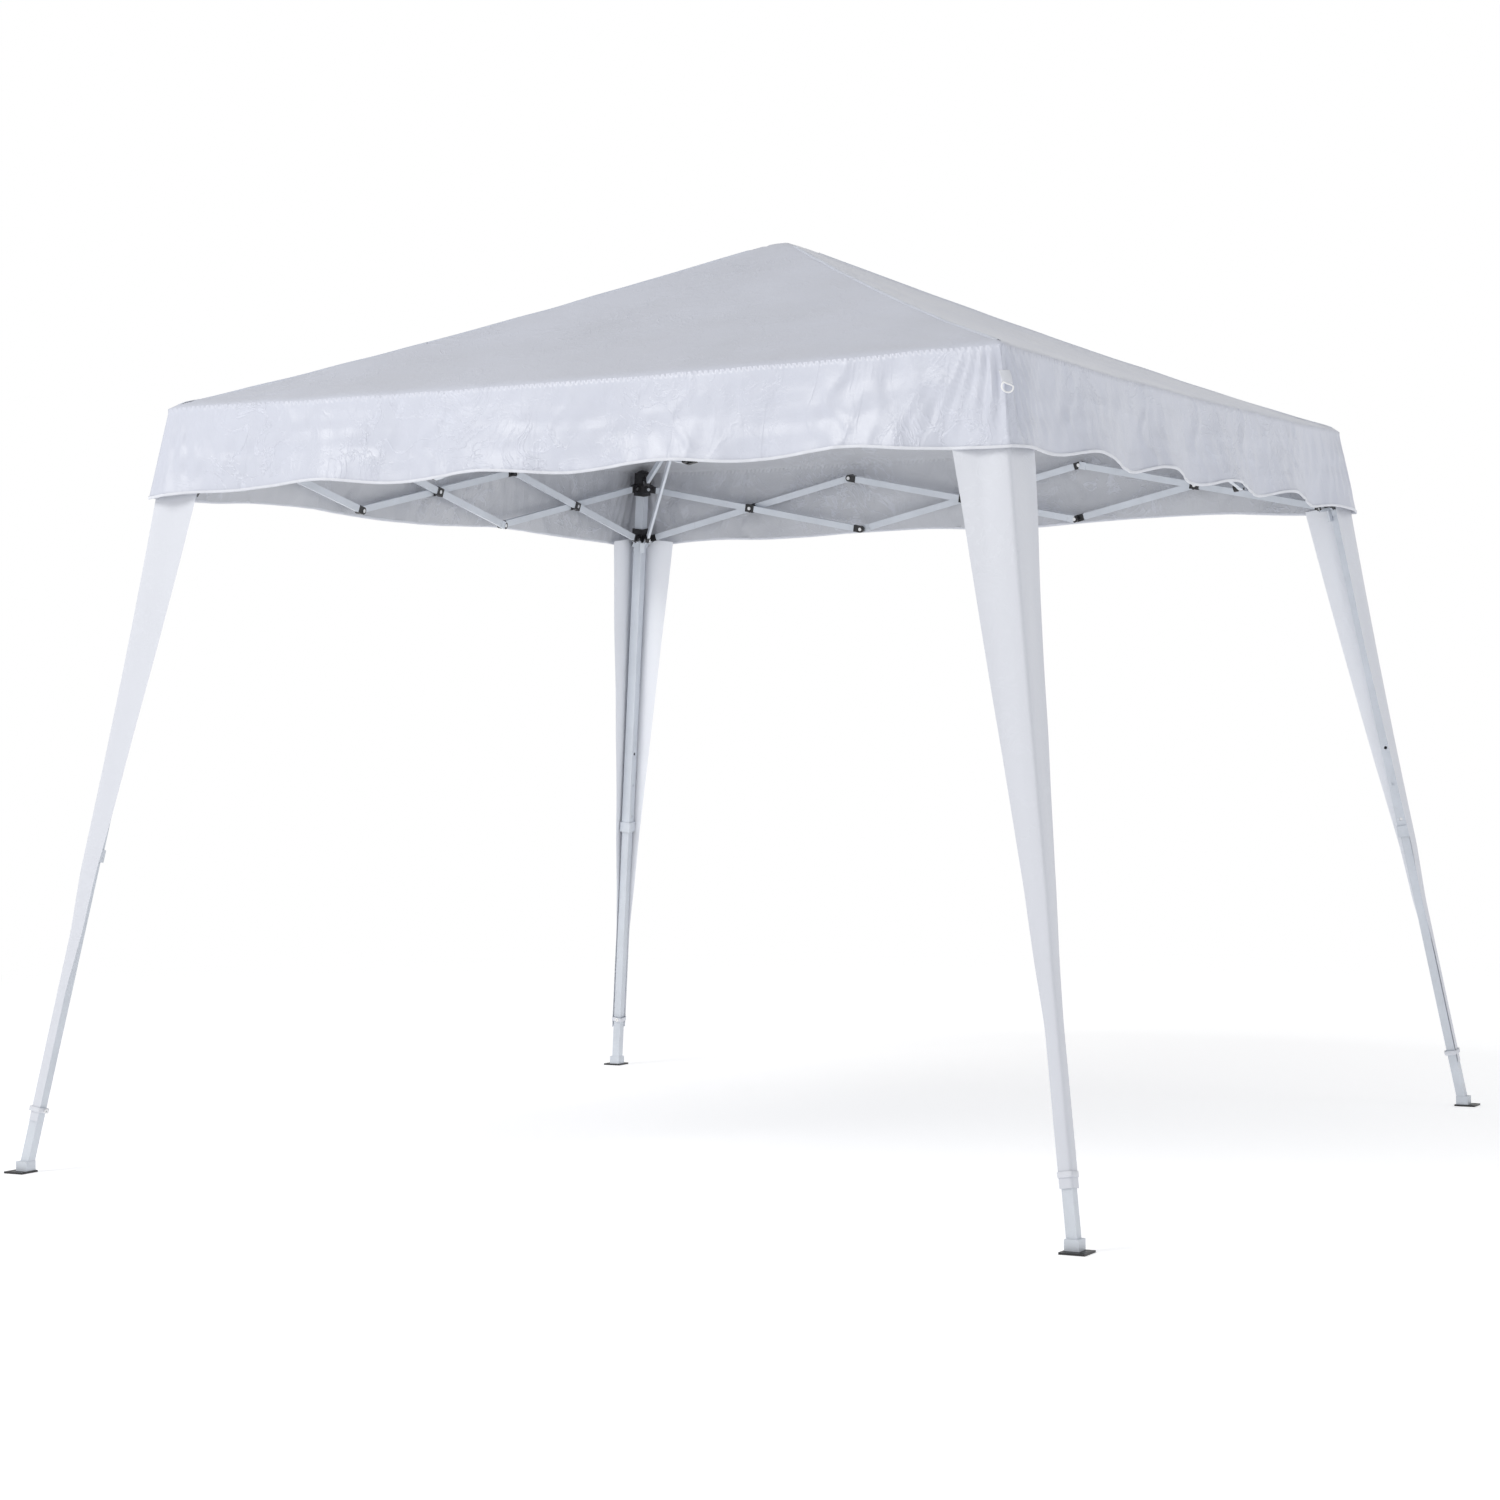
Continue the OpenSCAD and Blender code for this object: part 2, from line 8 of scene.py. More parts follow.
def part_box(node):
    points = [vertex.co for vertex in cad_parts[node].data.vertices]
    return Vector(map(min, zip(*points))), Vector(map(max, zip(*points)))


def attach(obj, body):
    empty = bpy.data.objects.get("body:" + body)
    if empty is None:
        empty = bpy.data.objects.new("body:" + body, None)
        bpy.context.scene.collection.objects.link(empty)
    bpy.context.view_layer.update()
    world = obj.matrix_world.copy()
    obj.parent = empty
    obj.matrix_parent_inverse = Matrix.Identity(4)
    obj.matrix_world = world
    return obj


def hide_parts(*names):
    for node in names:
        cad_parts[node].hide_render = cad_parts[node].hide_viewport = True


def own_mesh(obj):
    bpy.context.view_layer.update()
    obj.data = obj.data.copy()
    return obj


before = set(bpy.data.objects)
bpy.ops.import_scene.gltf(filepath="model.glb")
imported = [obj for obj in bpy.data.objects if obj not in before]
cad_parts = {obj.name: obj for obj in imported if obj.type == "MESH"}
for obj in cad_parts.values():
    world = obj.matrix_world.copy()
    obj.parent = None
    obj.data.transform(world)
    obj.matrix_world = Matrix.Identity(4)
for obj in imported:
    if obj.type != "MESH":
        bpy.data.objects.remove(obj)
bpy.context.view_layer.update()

print("stage: frame loaded with", len(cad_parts), "nodes")

cornerNames = ["front_left", "front_right", "back_right", "back_left"]
cornerSigns = [(-1, -1), (1, -1), (1, 1), (-1, 1)]
barsFromA = ["front_from_left", "right_from_front", "back_from_right", "left_from_back"]
barsFromB = ["left_from_front", "front_from_right", "right_from_back", "back_from_left"]

# the frame's own sizes, in metres
size = {
    "foot": 1.5,
    "lean": 0.16,
    "trussZ": 1.978,
    "depth": 0.1671,
    "pivot": 0.035,
    "layer": 0.008,
    "collar": 0.845,
}
quarter = math.pi / 2
psi = math.atan(size["lean"] * math.sqrt(2))
gamma = math.atan(math.sin(math.atan(size["lean"])))
eps = (math.acos(-(size["lean"] ** 2) / (1 + size["lean"] ** 2)) - quarter) / 2
legRest = size["trussZ"] / math.cos(psi)
span = size["foot"] - size["lean"] * size["trussZ"] - size["pivot"] / math.cos(gamma)
shift = size["depth"] * math.tan(gamma)
reach = (2 * span + shift) / 3
phi = math.atan(size["depth"] / reach)
barLong = math.hypot(reach, size["depth"])
crossTop = barLong * (1 - shift / reach) / 2
crossMid = barLong * (1 + shift / reach) / 2
sliderDrop = size["depth"] / math.cos(gamma)
swapXY = np.array([[0, 1, 0], [1, 0, 0], [0, 0, 1.0]])


def turnY(a):
    return np.array([[math.cos(a), 0, math.sin(a)], [0, 1, 0], [-math.sin(a), 0, math.cos(a)]])


def turnZ(a):
    return np.array([[math.cos(a), -math.sin(a), 0], [math.sin(a), math.cos(a), 0], [0, 0, 1]])


# leg frame of corner k: X and Y run inward along the two sides, Z up the leg
def legFrame(k):
    turn = turnZ(quarter / 2) @ turnY(psi) @ turnZ(-quarter / 2)
    reachIn = -(size["foot"] - size["lean"] * size["trussZ"])
    c = turnZ(k * quarter)
    return c @ turn, c @ np.array([reachIn, reachIn, size["trussZ"]])


# side frame: X along the side, Y inward from it, Z up the leg
def sideFrame(k, other):
    turn, origin = legFrame(k)
    return turn @ (swapXY if other else np.eye(3)) @ turnZ(-eps), origin


def toLocal(points, turn, origin):
    return (points - origin) @ turn


def newMaterial(name, color, rough=0.5, metal=0.0):
    m = bpy.data.materials.new(name)
    m.use_nodes = True
    p = m.node_tree.nodes["Principled BSDF"]
    p.inputs["Base Color"].default_value = (*color, 1)
    p.inputs["Roughness"].default_value = rough
    p.inputs["Metallic"].default_value = metal
    return m, m.node_tree.nodes, m.node_tree.links, p


def noiseNode(nodes, links, coord, scale, detail=4.0, rough=0.5, distort=0.0, stretch=None):
    n = nodes.new("ShaderNodeTexNoise")
    n.inputs["Scale"].default_value = scale
    n.inputs["Detail"].default_value = detail
    n.inputs["Roughness"].default_value = rough
    n.inputs["Distortion"].default_value = distort
    source = coord.outputs["Object"]
    if stretch:
        mapping = nodes.new("ShaderNodeMapping")
        mapping.inputs["Scale"].default_value = stretch
        links.new(source, mapping.inputs["Vector"])
        source = mapping.outputs["Vector"]
    links.new(source, n.inputs["Vector"])
    return n.outputs["Fac"]


def rampNode(nodes, links, source, stops):
    r = nodes.new("ShaderNodeValToRGB")
    for i, (at, value) in enumerate(stops):
        e = r.color_ramp.elements[i] if i < 2 else r.color_ramp.elements.new(at)
        e.position = at
        e.color = (*value, 1) if hasattr(value, "__len__") else (value, value, value, 1)
    links.new(source, r.inputs["Fac"])
    return r.outputs["Color"]


def mixColor(nodes, links, fac, a, b, blend="MIX"):
    m = nodes.new("ShaderNodeMix")
    m.data_type = "RGBA"
    m.blend_type = blend
    for socket, value in ((m.inputs["Factor"], fac), (m.inputs["A"], a), (m.inputs["B"], b)):
        if hasattr(value, "is_output"):
            links.new(value, socket)
        elif hasattr(value, "__len__"):
            socket.default_value = (*value, 1)
        else:
            socket.default_value = value
    return m.outputs["Result"]


def bumpNode(nodes, links, height, distance, strength, under=None):
    b = nodes.new("ShaderNodeBump")
    b.inputs["Distance"].default_value = distance
    b.inputs["Strength"].default_value = strength
    links.new(height, b.inputs["Height"])
    if under is not None:
        links.new(under, b.inputs["Normal"])
    return b.outputs["Normal"]


def sockets(nodes):
    return nodes.new("ShaderNodeTexCoord")


def ridged(nodes, links, source, width):
    # thin lines where a noise crosses its middle value
    centred = nodes.new("ShaderNodeMath")
    centred.operation = "SUBTRACT"
    centred.inputs[1].default_value = 0.5
    links.new(source, centred.inputs[0])
    size = nodes.new("ShaderNodeMath")
    size.operation = "ABSOLUTE"
    links.new(centred.outputs[0], size.inputs[0])
    return rampNode(nodes, links, size.outputs[0], [(0.0, 1.0), (width, 0.0)])


def times(nodes, links, a, b):
    m = nodes.new("ShaderNodeMath")
    m.operation = "MULTIPLY"
    for socket, value in zip(m.inputs, (a, b)):
        if hasattr(value, "is_output"):
            links.new(value, socket)
        else:
            socket.default_value = value
    return m.outputs[0]


# coated cloth, with another colour on its inner face
def clothMaterial(name, look):
    m, nodes, links, p = newMaterial(name, look["outer"], look["rough"])
    coord = sockets(nodes)
    side = nodes.new("ShaderNodeNewGeometry")
    blotch = noiseNode(nodes, links, coord, look["blotch"], 5, 0.55, 0.4)
    tones = []
    for color in (look["outer"], look["inner"]):
        dark = tuple(c * look["dark"] for c in color)
        tones.append(rampNode(nodes, links, blotch, [(0.3, dark), (0.72, color)]))
    # creases: thin lines, crowded in some patches and missing in others
    patchNoise = noiseNode(nodes, links, coord, look["patch"], 3)
    patches = rampNode(nodes, links, patchNoise, [(0.44, 0.0), (0.62, 1.0)])
    creaseNoise = noiseNode(nodes, links, coord, look["crease"], 4, 0.6, look["warp"])
    crease = ridged(nodes, links, creaseNoise, 0.035)
    streak = ridged(
        nodes, links, noiseNode(nodes, links, coord, look["streak"], 3, 0.55, 0.6, (1.0, 1.0, 0.28)), 0.03
    )
    crushed = noiseNode(nodes, links, coord, look["crush"], 6, 0.65, 0.9)
    soft = noiseNode(nodes, links, coord, look["fold"], 4, 0.5, 0.6)
    weave = nodes.new("ShaderNodeTexVoronoi")
    weave.inputs["Scale"].default_value = look["weave"]
    links.new(coord.outputs["Object"], weave.inputs["Vector"])
    normal = bumpNode(nodes, links, soft, look["foldDeep"], 0.5)
    normal = bumpNode(nodes, links, crushed, look["crushDeep"], 0.5, normal)
    normal = bumpNode(nodes, links, times(nodes, links, crease, patches), look["creaseDeep"], 0.6, normal)
    normal = bumpNode(nodes, links, times(nodes, links, streak, 0.7), look["creaseDeep"], 0.4, normal)
    normal = bumpNode(nodes, links, weave.outputs["Distance"], 0.0003, 0.25, normal)
    links.new(normal, p.inputs["Normal"])
    # painted highlight: the crease lines are painted lighter, standing in for glints along the creases
    line = times(nodes, links, times(nodes, links, crease, patches), look["lineTone"])
    both = mixColor(nodes, links, side.outputs["Backfacing"], tones[0], tones[1])
    lighter = tuple(min(1.0, c * 1.25) for c in look["outer"])
    links.new(mixColor(nodes, links, line, both, lighter), p.inputs["Base Color"])
    gloss = rampNode(nodes, links, blotch, [(0.3, look["rough"] - 0.06), (0.7, look["rough"] + 0.1)])
    links.new(gloss, p.inputs["Roughness"])
    p.inputs["Coat Weight"].default_value = look["coat"]
    p.inputs["Coat Roughness"].default_value = look["coatRough"]
    links.new(normal, p.inputs["Coat Normal"])
    p.inputs["Sheen Weight"].default_value = look["sheen"]
    p.inputs["Sheen Roughness"].default_value = 0.4
    return m


coverLook = {
    "outer": (0.61, 0.635, 0.725),
    "inner": (0.53, 0.545, 0.585),
    "dark": 0.94,
    "rough": 0.38,
    "blotch": 3.1,
    "patch": 2.6,
    "crease": 9.0,
    "warp": 1.6,
    "streak": 8.0,
    "creaseDeep": 0.0017,
    # how much lighter the crease lines are painted, a painted highlight
    "lineTone": 0.30,
    "crush": 26.0,
    "crushDeep": 0.0014,
    "fold": 6.5,
    "foldDeep": 0.0042,
    "weave": 1500.0,
    "coat": 0.20,
    "coatRough": 0.20,
    "sheen": 0.12,
}
# the skirts are a thinner, smoother cloth, so only what differs is given; their inner face is painted much lighter,
# painted light shining through the thin cloth
skirtLook = dict(coverLook, outer=(0.68, 0.70, 0.76), inner=(0.86, 0.88, 0.93), dark=0.98)
# the skirts get only a faint painted highlight on their crease lines
skirtLook.update(rough=0.50, coat=0.08, sheen=0.1, lineTone=0.1)
skirtLook.update(creaseDeep=0.0005, crushDeep=0.0006, foldDeep=0.0025)
coverCloth = clothMaterial("coverCloth", coverLook)
skirtCloth = clothMaterial("skirtCloth", skirtLook)


def steelMaterial(name, color, rough, metal):
    m, nodes, links, p = newMaterial(name, color, rough, metal)
    coord = sockets(nodes)
    patch = noiseNode(nodes, links, coord, 9.0, 5, 0.6)
    tint = rampNode(nodes, links, patch, [(0.32, tuple(c * 0.9 for c in color)), (0.66, color)])
    scuff = noiseNode(nodes, links, coord, 60.0, 6, 0.7, 1.5, (1, 1, 0.12))
    worn = rampNode(nodes, links, scuff, [(0.62, 0.0), (0.74, 0.45)])
    links.new(mixColor(nodes, links, worn, tint, tuple(c * 0.72 for c in color)), p.inputs["Base Color"])
    grain = noiseNode(nodes, links, coord, 900.0, 2, 0.5)
    normal = bumpNode(nodes, links, grain, 0.00025, 0.3)
    links.new(bumpNode(nodes, links, patch, 0.0006, 0.25, normal), p.inputs["Normal"])
    gloss = rampNode(nodes, links, scuff, [(0.3, rough - 0.05), (0.8, rough + 0.18)])
    links.new(gloss, p.inputs["Roughness"])
    return m


def plasticMaterial(name, color, rough):
    m, nodes, links, p = newMaterial(name, color, rough)
    coord = sockets(nodes)
    spark = noiseNode(nodes, links, coord, 1200.0, 2, 0.6)
    rub = noiseNode(nodes, links, coord, 40.0, 5, 0.65, 0.8)
    lighter = tuple(min(1.0, c * 1.8 + 0.012) for c in color)
    links.new(rampNode(nodes, links, rub, [(0.4, color), (0.75, lighter)]), p.inputs["Base Color"])
    gloss = rampNode(nodes, links, rub, [(0.3, rough - 0.08), (0.7, rough + 0.12)])
    links.new(gloss, p.inputs["Roughness"])
    links.new(bumpNode(nodes, links, spark, 0.0003, 0.35), p.inputs["Normal"])
    return m


paintedSteel = steelMaterial("paintedSteel", (0.66, 0.70, 0.76), 0.40, 0.15)
brightSteel = steelMaterial("brightSteel", (0.72, 0.73, 0.75), 0.28, 1.0)
blackPlastic = plasticMaterial("blackPlastic", (0.012, 0.012, 0.014), 0.42)
whitePlastic = plasticMaterial("whitePlastic", (0.80, 0.81, 0.83), 0.30)


# a ribbed woven tape, used for the hem binding, straps and tabs
def tapeMaterial(name, color):
    m, nodes, links, p = newMaterial(name, color, 0.62)
    coord = sockets(nodes)
    rib = nodes.new("ShaderNodeTexVoronoi")
    rib.inputs["Scale"].default_value = 700.0
    links.new(coord.outputs["Object"], rib.inputs["Vector"])
    tone = noiseNode(nodes, links, coord, 30.0, 4, 0.6)
    tint = rampNode(nodes, links, tone, [(0.3, tuple(c * 0.92 for c in color)), (0.7, color)])
    links.new(tint, p.inputs["Base Color"])
    links.new(bumpNode(nodes, links, rib.outputs["Distance"], 0.0008, 0.5), p.inputs["Normal"])
    p.inputs["Sheen Weight"].default_value = 0.25
    return m


whiteTape = tapeMaterial("whiteTape", (0.74, 0.76, 0.82))
seamTape = tapeMaterial("seamTape", (0.62, 0.655, 0.74))
thread = tapeMaterial("thread", (0.80, 0.82, 0.88))
print("stage: materials made")


# the frame is painted by where each face is
def paint(node, materials, choose):
    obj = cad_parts[node]
    mesh = obj.data
    mesh.materials.clear()
    for m in materials:
        mesh.materials.append(m)
    centres = np.zeros(len(mesh.polygons) * 3)
    mesh.polygons.foreach_get("center", centres)
    centres = centres.reshape(-1, 3)
    picked = np.zeros(len(centres), int) if choose is None else choose(centres).astype(int)
    mesh.polygons.foreach_set("material_index", picked)
    mesh.update()


def nearPivot(local, x, z, y, away):
    onAxis = np.hypot(local[:, 0] - x, local[:, 2] - z) < 0.0058
    return onAxis & (np.abs(local[:, 1] - y) > away)


frameMats = [blackPlastic, paintedSteel, brightSteel]
slack = 0.00012


def paintCorner(k):
    name = cornerNames[k]
    turn, origin = legFrame(k)
    diagonal = turnZ(quarter / 2)

    def legFaces(points):
        p = toLocal(points, turn, origin)
        tube = (np.abs(p[:, 0]) < 0.015 + slack) & (np.abs(p[:, 1]) < 0.015 + slack) & (p[:, 2] < 0.0405)
        out = np.where(tube, 1, 0)
        # the collar is light, with a thin black lip
        out[p[:, 2] < size["collar"] - legRest + 0.05] = 1
        out[p[:, 2] < size["collar"] - legRest + 0.0005] = 0
        for other, y in ((False, -size["layer"]), (True, size["layer"])):
            q = toLocal(points, *sideFrame(k, other))
            out[nearPivot(q, size["pivot"], 0, y, 0.0101)] = 2
        d = p @ diagonal
        out[nearPivot(d, 0.052, 0.025, 0, 0.0095)] = 2
        return out

    def sliderFaces(points):
        p = toLocal(points, turn, origin)
        out = np.zeros(len(p), int)
        for other, y in ((False, size["layer"]), (True, -size["layer"])):
            q = toLocal(points, *sideFrame(k, other))
            out[nearPivot(q, size["pivot"], -sliderDrop, y, 0.0101)] = 2
        d = p @ diagonal
        out[nearPivot(d, 0.052, -sliderDrop, 0.011, 0.0085)] = 2
        # the release lever is light
        out[p[:, 2] < p[:, 2].min() + 0.040] = 1
        return out

    def innerFaces(points):
        p = toLocal(points, turn, origin)
        tube = (np.abs(p[:, 0]) < 0.013 + slack) & (np.abs(p[:, 1]) < 0.013 + slack)
        out = np.where(tube & (p[:, 2] < size["collar"] - legRest + 0.2301), 1, 0)
        out[(points[:, 2] > 0.0055) & (p[:, 2] < -legRest + 0.06)] = 1
        return out

    paint(f"outer_leg_{name}", frameMats, legFaces)
    paint(f"slider_{name}", frameMats, sliderFaces)
    paint(f"inner_leg_{name}", frameMats, innerFaces)
    paint(f"snap_button_{name}", [brightSteel], None)


def paintBar(node, k, other, kind):
    turn, origin = sideFrame(k, other)
    start = origin + turn @ np.array([size["pivot"], 0, 0])
    level = turn @ turnY(-gamma)
    y = size["layer"] if other else -size["layer"]
    at, tip, pivots = {
        "top": ((0, 0), phi, (0, crossTop, barLong)),
        "slider": ((-shift, -size["depth"]), -phi, (0, barLong - crossTop, barLong)),
        "middle": ((reach - shift, 0), phi, (0, crossMid, barLong)),
    }[kind]
    y = -y if kind == "slider" else y
    start = start + level @ np.array([at[0], 0, at[1]])
    along = level @ turnY(tip)

    def faces(points):
        p = toLocal(points, along, start)
        tube = (np.abs(p[:, 1] - y) < 0.005 + slack) & (np.abs(p[:, 2]) < 0.010 + slack)
        tube &= (p[:, 0] > 0.0238) & (p[:, 0] < barLong - 0.0238)
        out = np.where(tube, 1, 0)
        if kind != "top":
            out[(p[:, 0] > barLong - 0.03) & (p[:, 0] < barLong - 0.003)] = 1
        for x in pivots:
            out[nearPivot(p, x, 0, y, 0.0067)] = 2
        return out

    paint(node, frameMats, faces)


def paintRafters(k):
    name = cornerNames[k]
    out = turnZ((2.5 + k) * quarter)
    pivotD = (size["foot"] - size["lean"] * size["trussZ"]) * math.sqrt(2)
    pivotD -= 0.025 * math.sin(psi) + 0.052 * math.cos(psi)
    pivotZ = size["trussZ"] + 0.025 * math.cos(psi) - 0.052 * math.sin(psi)
    tilt = math.atan((2.47 - pivotZ) / (pivotD - 0.04))
    long = math.hypot(2.47 - pivotZ, pivotD - 0.04)
    hubPivot = out @ np.array([0.04, 0, 2.47])
    along = out @ turnY(tilt)

    def upperFaces(points):
        p = toLocal(points, along, hubPivot)
        tube = (p[:, 0] > 0.0199) & (p[:, 0] < long - 0.617 - 0.0199)
        picked = np.where(tube, 1, 0)
        picked[np.hypot(p[:, 0] - long + 0.617, p[:, 2]) < 0.0058] = 2
        return picked

    def lowerFaces(points):
        p = toLocal(points, along, hubPivot)
        tube = (p[:, 0] > long - 0.617 + 0.0199) & (p[:, 0] < long - 0.0199)
        tube &= (np.abs(p[:, 1]) < 0.005 + slack) & (np.abs(p[:, 2]) < 0.010 + slack)
        return np.where(tube, 1, 0)

    paint(f"upper_rafter_{name}", frameMats, upperFaces)
    paint(f"lower_rafter_{name}", frameMats, lowerFaces)
    lo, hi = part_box(f"strut_{name}")
    low, high = np.array(lo), np.array(hi)
    paint(f"strut_{name}", frameMats, lambda q: ((q[:, 2] > low[2] + 0.024) & (q[:, 2] < high[2] - 0.024)))


for k in range(4):
    paintCorner(k)
    paintRafters(k)
    for kind in ("top", "slider", "middle"):
        paintBar(f"{kind}_bar_{barsFromA[k]}", k, False, kind)
        paintBar(f"{kind}_bar_{barsFromB[k]}", k, True, kind)


def hubFaces(points):
    picked = np.zeros(len(points), int)
    for k in range(4):
        p = points @ turnZ((2.5 + k) * quarter)
        picked[nearPivot(p - np.array([0.04, 0, 2.47]), 0, 0, 0.012, 0.0101)] = 2
    return picked


paint("hub", frameMats, hubFaces)
paint("hub_cap", [blackPlastic], None)
print("stage: frame painted")

# the cover is one continuous surface, cut where the frame folds
cover = {
    "half": 1.222,
    "eave": 2.034,
    "hem": 1.792,
    "hemHalf": 1.262,
    "cells": 80,
    "rows": 18,
    "elbowCell": 95,
    "crownCell": 5,
    "slope": 0.44,
    "bow": 0.072,
    "apexRound": 0.022,
}


def wander(x, y, z, scale):
    return noise.noise(Vector((x * scale, y * scale, z * scale)))


# height and place of the roof at u, v, each from -1 to 1 across the roof
def roofPoint(u, v):
    m, n = max(abs(u), abs(v)), min(abs(u), abs(v))
    rim = 1 - math.hypot(m, cover["apexRound"])
    r = n / m if m > 1e-6 else 1.0
    mid = 1 - r * r
    z = cover["eave"] + rim * (cover["slope"] + cover["bow"] * rim)
    z -= mid * (0.020 * math.sin(math.pi * m) ** 1.2 * m + 0.010 * m ** 6)
    # soft roll of the cloth over the eave
    z -= 0.0045 * max(0.0, (m - 0.975) / 0.025) ** 2
    x, y = u * cover["half"], v * cover["half"]
    # drawn-in eave between the corners
    pull = 1 - 0.0065 * mid * m ** 5
    x, y = x * pull, y * pull
    # loose wrinkles along the panels, and tight ones that run out of the corners
    edge = min(1.0, m * 6)
    z += 0.0045 * edge * mid * wander(x * 1.0, y * 1.0, 3.1, 2.3)
    z += 0.0022 * edge * wander(x, y, 7.7, 7.0)
    corner = math.hypot(cover["half"] - abs(x), cover["half"] - abs(y))
    angle = math.atan2(cover["half"] - abs(y), cover["half"] - abs(x))
    z += 0.0022 * math.exp(-corner / 0.30) * math.sin(angle * 22 + 5 * wander(x, y, 1.3, 3.0))
    return x, y, z


# the four values in each list are for the front, right, back and left sides
hem = {
    "rise": 0.018,
    "lobe": (0.008, 0.013, 0.006, 0.009),
    "wave": (0.50, 0.46, 0.90, 1.00),
    "crest": (-0.70, -0.72, -0.65, -0.40),
    "push": 0.014,
    "fan": (0.004, 0.012, 0.004, 0.004),
    "fanWide": 0.10,
    "strapPull": 0.009,
    "folds": (-0.83, -0.36, 0.02, 0.37, 0.79),
    "foldDeep": 0.0032,
}


# how far the hem stands above its corners, s runs along the side from its middle
def hemLift(side, s, near):
    ease = min(1.0, near / 0.38)
    lobes = hem["lobe"][side] * math.cos(2 * math.pi * (s - hem["crest"][side]) / hem["wave"][side])
    return ease * ease * (3 - 2 * ease) * (hem["rise"] + lobes)


# side of the valance: 0 front, 1 right, 2 back, 3 left; a runs -1 to 1 along it, t down it
def valancePoint(side, a, t):
    u, v = ((a, -1), (1, a), (-a, 1), (-1, -a))[side]
    x, y, z = roofPoint(u, v)
    s, start = a * cover["half"], side * 1.7 + 0.4
    near = (1 - abs(a)) * cover["half"]
    phase = 2 * math.pi * (s - hem["crest"][side]) / hem["wave"][side] + 1.2 * wander(s, start, 0.5, 1.3)
    # the hem hangs in shallow lobes, and rises a little between the corners
    z += (cover["hem"] - cover["eave"]) * t + hemLift(side, s, near) * t ** 1.6
    push = hem["push"] * t ** 1.4 * math.sin(phase + 1.1)
    push += 0.009 * t * wander(s, start + t * 0.2, 4.4, 5.0)
    push += 0.0045 * wander(s * 1.6, start, t * 0.24, 14.0) * min(1.0, t * 4)
    push += 0.0035 * math.sin(math.pi * t) * wander(s * 0.6, start, t * 0.9, 8.0)
    for at in hem["folds"]:
        push += hem["foldDeep"] * math.exp(-(((s - at - 0.03 * math.sin(9 * t + at)) / 0.011) ** 2))
    push *= min(1.0, near / 0.06)
    # gathers that fan out below each corner strap
    across = near / (0.45 + 0.55 * t)
    fan = math.sin(125 * across + 2.0 * start + 2.5 * wander(near, start, t * 0.3, 6.0))
    fan *= math.exp(-near / hem["fanWide"]) * math.sin(math.pi * min(1.0, 0.06 + 0.92 * t)) ** 0.7
    corner = (side + (a > 0)) % 4
    push += hem["fan"][corner] * fan * min(1.0, near / 0.02)
    # the cloth is pulled in where the strap is sewn on
    pull = (corner == 1) * math.exp(-((near / 0.030) ** 2) - ((t - 0.16) / 0.16) ** 2)
    flare = (cover["hemHalf"] - cover["half"]) * t
    # it stays clear of the leg and its fittings
    push = max(push, -0.001 - 0.022 * min(1.0, max(0.0, near - 0.10) / 0.12))
    push += flare - 0.0035 * math.sin(math.pi * t) * min(1.0, near / 0.2) - hem["strapPull"] * pull
    # each corner is rolled, not sharp
    push -= 0.004 * math.exp(-near / 0.008) * min(1.0, t * 5)
    spread = 1 + flare / cover["half"]
    if side in (1, 3):
        return x + (push if side == 1 else -push), y * spread, z
    return x * spread, y + (push if side == 2 else -push), z


n = cover["cells"]
wide = 2 * n + 1
points = []
for j in range(-n, n + 1):
    for i in range(-n, n + 1):
        points.append(roofPoint(i / n, j / n))


def roofIndex(i, j):
    return (j + n) * wide + (i + n)


def rimIndex(side, step):
    i, j = ((step, -n), (n, step), (-step, n), (-n, -step))[side]
    return roofIndex(i, j)


roofFaces = []
for j in range(-n, n):
    for i in range(-n, n):
        a, b, c, d = roofIndex(i, j), roofIndex(i + 1, j), roofIndex(i + 1, j + 1), roofIndex(i, j + 1)
        ii, jj = (i if i >= 0 else -i - 1), (j if j >= 0 else -j - 1)
        away = (i >= 0) == (j >= 0)
        cut = ii + jj + 1 in (cover["elbowCell"], cover["crownCell"])
        if cut and away:
            roofFaces += [((a, b, d), i, j), ((b, c, d), i, j)]
        elif cut:
            roofFaces += [((a, b, c), i, j), ((a, c, d), i, j)]
        elif ii == jj and away:
            roofFaces += [((a, b, c), i, j), ((a, c, d), i, j)]
        elif ii == jj:
            roofFaces += [((a, b, d), i, j), ((b, c, d), i, j)]
        else:
            roofFaces.append(((a, b, c, d), i, j))
grid = [(i, j) for j in range(-n, n + 1) for i in range(-n, n + 1)]

# valance rows below the rim, in twice as many columns; the four corner columns are shared
rows = cover["rows"]
column = {}


def columnAt(side, half):
    if half == 2 * n:
        side, half = (side + 1) % 4, -2 * n
    if (side, half) in column:
        return column[side, half]
    if half % 2:
        ends = [points[rimIndex(side, (half + e) // 2)] for e in (-1, 1)]
        points.append(tuple((p + q) / 2 for p, q in zip(*ends)))
        made = [len(points) - 1]
    else:
        made = [rimIndex(side, half // 2)]
    for row in range(1, rows + 1):
        t = row / rows
        p = np.array(valancePoint(side, half / (2 * n), t))
        if half == -2 * n:
            # a corner column lies on the diagonal
            outward = cover["half"] + (cover["hemHalf"] - cover["half"]) * t - 0.0020
            outward -= (side == 1) * 0.008 * math.exp(-(((t - 0.16) / 0.16) ** 2))
            p[:2] = np.sign(p[:2]) * outward
        made.append(len(points))
        points.append(tuple(p))
    column[side, half] = made
    return made


